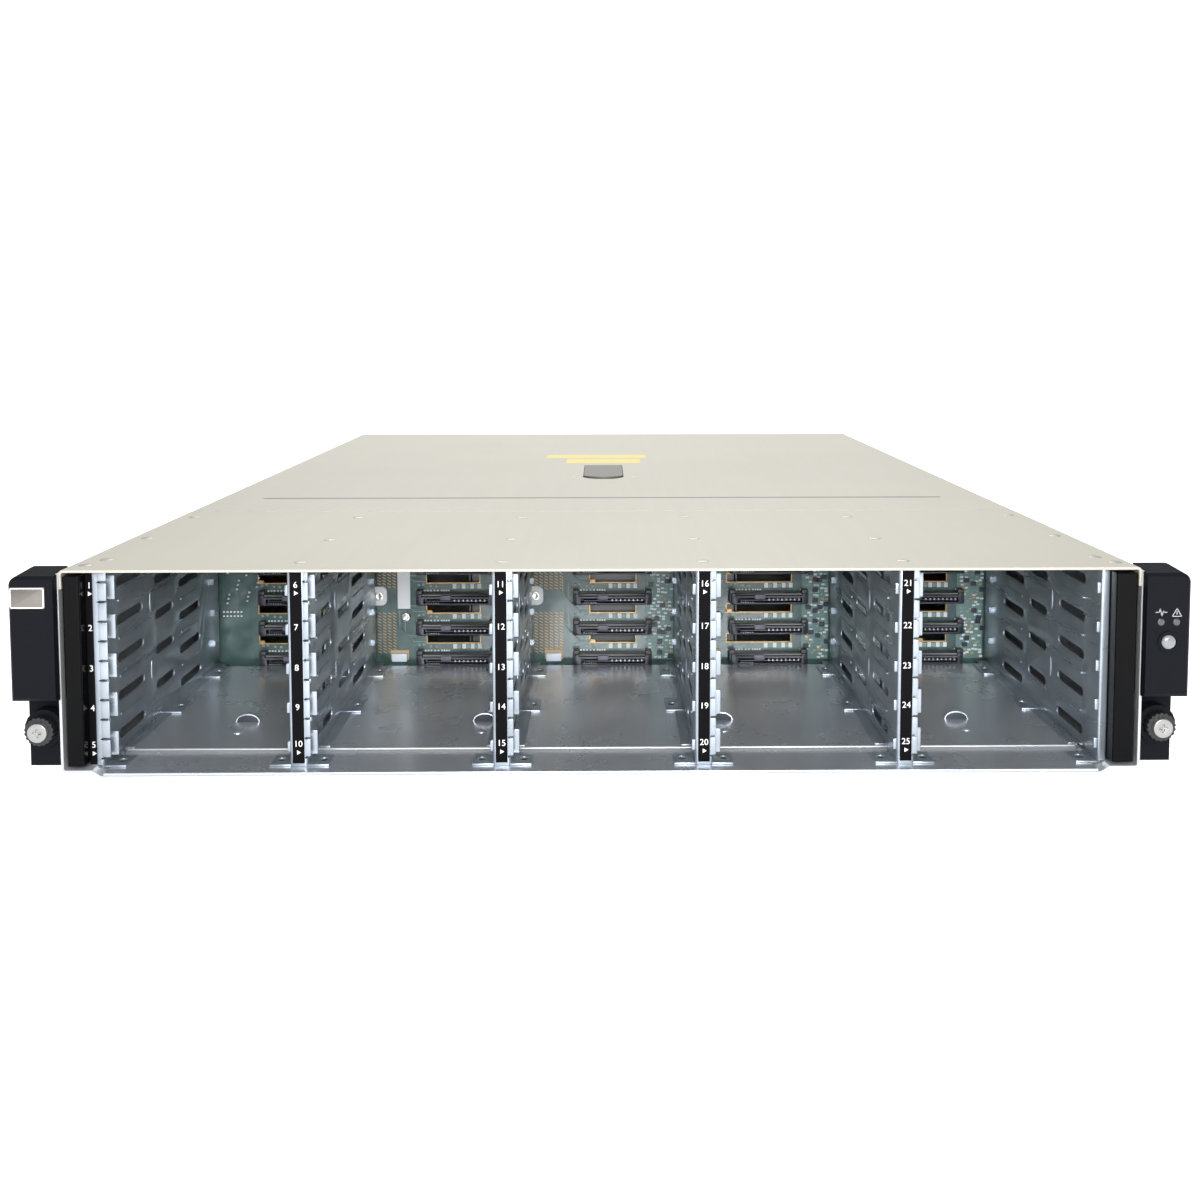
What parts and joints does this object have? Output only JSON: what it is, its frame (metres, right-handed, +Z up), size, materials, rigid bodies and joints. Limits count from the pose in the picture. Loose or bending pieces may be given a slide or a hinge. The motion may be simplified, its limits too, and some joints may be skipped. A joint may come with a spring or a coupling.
{
  "type": "disk shelf enclosure",
  "caption": "Two-unit rack disk shelf with open drive bays in five columns, rack ears, sliding rear lid and slide-out power, fan and cable modules.",
  "frame": {"origin": "on the resting plane under the middle of the chassis, halfway between the front edge of the base pan and the rear plane", "axes": "+Z up, +X to the right of someone facing the open bays, +Y from the bays to the rear modules"},
  "size_m": [0.4826, 0.6189, 0.0879],
  "materials": {
    "pan_steel": "zinc-coated sheet, satin",
    "lid_steel": "warm zinc-coated sheet, satin",
    "cage_steel": "zinc-coated sheet, glossy",
    "fastener_steel": "bright zinc",
    "ear_black": "black powder coat",
    "cap_black": "fine-grained moulded plastic",
    "filler_black": "glossy moulded plastic",
    "label_black": "printed film",
    "board_green": "solder mask",
    "connector_black": "moulded plastic",
    "knob_black": "fluted moulded plastic",
    "button_grey": "translucent plastic",
    "lens_dark": "smoked plastic",
    "socket_black": "moulded plastic",
    "copper": "bare copper",
    "module_steel": "zinc-coated sheet, satin",
    "inlet_black": "moulded plastic",
    "handle_black": "black powder coat",
    "pawl_blue": "moulded plastic",
    "fan_black": "glass-filled plastic",
    "port_steel": "nickel plate"
  },
  "bodies": {
    "chassis": {"base_pan": "pan_steel", "front_top_cover": "lid_steel", "top_rivets": "fastener_steel", "cage_floor": "cage_steel", "cage_wall_left": "cage_steel", "cage_wall_right": "cage_steel", "divider_1": "cage_steel", "divider_2": "cage_steel", "divider_3": "cage_steel", "divider_4": "cage_steel", "bay_label_strips": "label_black", "side_filler_left": "filler_black", "side_filler_right": "filler_black", "drive_backplane": "board_green", "drive_connectors": "connector_black", "backplane_screws": "fastener_steel", "module_sockets": "socket_black", "ear_flange_left": "ear_black", "ear_flange_right": "ear_black", "ear_bezel_left": "cap_black", "ear_bezel_right": "cap_black", "status_lenses": "lens_dark", "thumb_boss_left": "cap_black", "thumb_boss_right": "cap_black", "partition_outer_left": "module_steel", "partition_outer_right": "module_steel", "partition_inner_left": "module_steel", "partition_inner_right": "module_steel", "power_boards": "board_green", "bus_bars": "copper"},
    "rear_lid": {"rear_cover": "lid_steel", "latch_rivets": "fastener_steel"},
    "lid_latch": {"cover_latch": "lid_steel"},
    "locate_button": {"locate_button": "button_grey"},
    "screw_carrier_left": {"thumb_ring_left": "fastener_steel"},
    "thumbscrew_left": {"thumbscrew_left": "knob_black"},
    "psu_left": {"psu_case_left": "module_steel", "psu_inlet_left": "inlet_black", "psu_handle_left": "handle_black"},
    "psu_pawl_left": {"psu_pawl_left": "pawl_blue"},
    "fan_left": {"fan_case_left": "fan_black", "fan_guard_left": "fastener_steel"},
    "fan_rotor_left": {"fan_rotor_left": "fan_black"},
    "fan_pawl_left": {"fan_pawl_left": "pawl_blue"},
    "screw_carrier_right": {"thumb_ring_right": "fastener_steel"},
    "thumbscrew_right": {"thumbscrew_right": "knob_black"},
    "psu_right": {"psu_case_right": "module_steel", "psu_inlet_right": "inlet_black", "psu_handle_right": "handle_black"},
    "psu_pawl_right": {"psu_pawl_right": "pawl_blue"},
    "fan_right": {"fan_case_right": "fan_black", "fan_guard_right": "fastener_steel"},
    "fan_rotor_right": {"fan_rotor_right": "fan_black"},
    "fan_pawl_right": {"fan_pawl_right": "pawl_blue"},
    "io_lower": {"io_module_lower": "module_steel", "io_ports_lower": "port_steel"},
    "io_lever_lower": {"io_lever_lower": "handle_black"},
    "io_upper": {"io_module_upper": "module_steel", "io_ports_upper": "port_steel"},
    "io_lever_upper": {"io_lever_upper": "handle_black"}
  },
  "joints": [
    {"name": "lid_slide", "type": "slide", "parent": "chassis", "child": "rear_lid", "axis": [0, 1, 0], "range_m": [0, 0.012]},
    {"name": "latch_lift", "type": "hinge", "parent": "rear_lid", "child": "lid_latch", "pos_m": [0, 0.0555, 0.0858], "axis": [-1, 0, 0], "range_deg": [0, 50]},
    {"name": "locate_press", "type": "slide", "parent": "chassis", "child": "locate_button", "axis": [0, 1, 0], "range_m": [0, 0.001], "stiffness_N_per_m": 800},
    {"name": "screw_float_left", "type": "slide", "parent": "chassis", "child": "screw_carrier_left", "axis": [0, -1, 0], "range_m": [0, 0.003]},
    {"name": "screw_turn_left", "type": "hinge", "parent": "screw_carrier_left", "child": "thumbscrew_left", "pos_m": [-0.23255, -0.2845, 0.02], "axis": [0, 1, 0], "continuous": true},
    {"name": "psu_slide_left", "type": "slide", "parent": "chassis", "child": "psu_left", "axis": [0, 1, 0], "range_m": [0, 0.24]},
    {"name": "psu_pawl_press_left", "type": "hinge", "parent": "psu_left", "child": "psu_pawl_left", "pos_m": [-0.1919, 0.2962, 0.0814], "axis": [-1, 0, 0], "range_deg": [0, 18], "stiffness_Nm_per_rad": 0.05},
    {"name": "fan_slide_left", "type": "slide", "parent": "chassis", "child": "fan_left", "axis": [0, 1, 0], "range_m": [0, 0.074]},
    {"name": "fan_spin_left", "type": "hinge", "parent": "fan_left", "child": "fan_rotor_left", "pos_m": [-0.1185, 0.2805, 0.04375], "axis": [0, 1, 0], "continuous": true},
    {"name": "fan_pawl_press_left", "type": "hinge", "parent": "fan_left", "child": "fan_pawl_left", "pos_m": [-0.1185, 0.2962, 0.0814], "axis": [-1, 0, 0], "range_deg": [0, 18], "stiffness_Nm_per_rad": 0.05},
    {"name": "screw_float_right", "type": "slide", "parent": "chassis", "child": "screw_carrier_right", "axis": [0, -1, 0], "range_m": [0, 0.003]},
    {"name": "screw_turn_right", "type": "hinge", "parent": "screw_carrier_right", "child": "thumbscrew_right", "pos_m": [0.23255, -0.2845, 0.02], "axis": [0, 1, 0], "continuous": true},
    {"name": "psu_slide_right", "type": "slide", "parent": "chassis", "child": "psu_right", "axis": [0, 1, 0], "range_m": [0, 0.24]},
    {"name": "psu_pawl_press_right", "type": "hinge", "parent": "psu_right", "child": "psu_pawl_right", "pos_m": [0.1919, 0.2962, 0.0814], "axis": [-1, 0, 0], "range_deg": [0, 18], "stiffness_Nm_per_rad": 0.05},
    {"name": "fan_slide_right", "type": "slide", "parent": "chassis", "child": "fan_right", "axis": [0, 1, 0], "range_m": [0, 0.074]},
    {"name": "fan_spin_right", "type": "hinge", "parent": "fan_right", "child": "fan_rotor_right", "pos_m": [0.1185, 0.2805, 0.04375], "axis": [0, 1, 0], "continuous": true},
    {"name": "fan_pawl_press_right", "type": "hinge", "parent": "fan_right", "child": "fan_pawl_right", "pos_m": [0.1185, 0.2962, 0.0814], "axis": [-1, 0, 0], "range_deg": [0, 18], "stiffness_Nm_per_rad": 0.05},
    {"name": "io_slide_lower", "type": "slide", "parent": "chassis", "child": "io_lower", "axis": [0, 1, 0], "range_m": [0, 0.38]},
    {"name": "io_lever_swing_lower", "type": "hinge", "parent": "io_lower", "child": "io_lever_lower", "pos_m": [0.0591, 0.2973, 0.0337], "axis": [0, 0, -1], "range_deg": [0, 65]},
    {"name": "io_slide_upper", "type": "slide", "parent": "chassis", "child": "io_upper", "axis": [0, 1, 0], "range_m": [0, 0.38]},
    {"name": "io_lever_swing_upper", "type": "hinge", "parent": "io_upper", "child": "io_lever_upper", "pos_m": [0.0591, 0.2973, 0.0737], "axis": [0, 0, -1], "range_deg": [0, 65]}
  ],
  "couplings": [
    {"joint": "latch_lift", "follows": "lid_slide", "rad_per_m": 72.721}
  ]
}
